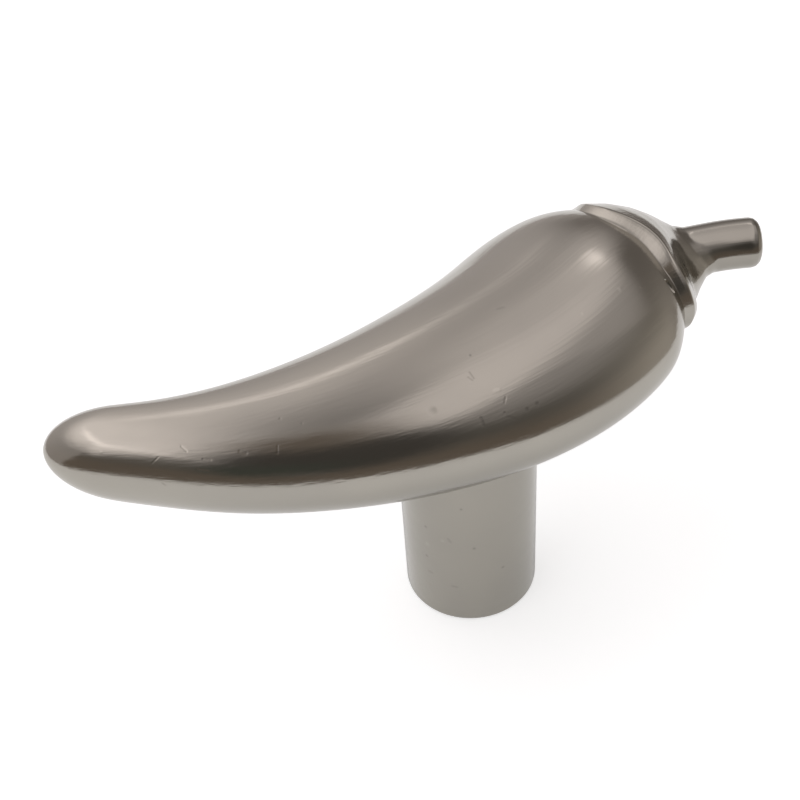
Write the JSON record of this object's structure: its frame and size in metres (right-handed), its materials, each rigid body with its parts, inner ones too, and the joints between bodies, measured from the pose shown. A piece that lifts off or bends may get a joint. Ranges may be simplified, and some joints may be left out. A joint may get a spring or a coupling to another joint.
{
  "type": "chili pepper cabinet knob",
  "caption": "Cast cabinet knob shaped as a curved chili pepper lying across a round post, with a lobed calyx, a short stalk and a tapped hole in the post's foot.",
  "frame": {"origin": "centre of the post's mounting face, at the mouth of its tapped hole", "axes": "+Z away from the drawer front, along the post's axis; +X towards the stalk, -X towards the tail"},
  "size_m": [0.0668, 0.0243, 0.0313],
  "materials": {
    "satin_nickel": "satin nickel plate over cast zinc, with fine brushing along the pepper"
  },
  "bodies": {
    "root": {"knob": "satin_nickel"}
  },
  "joints": []
}
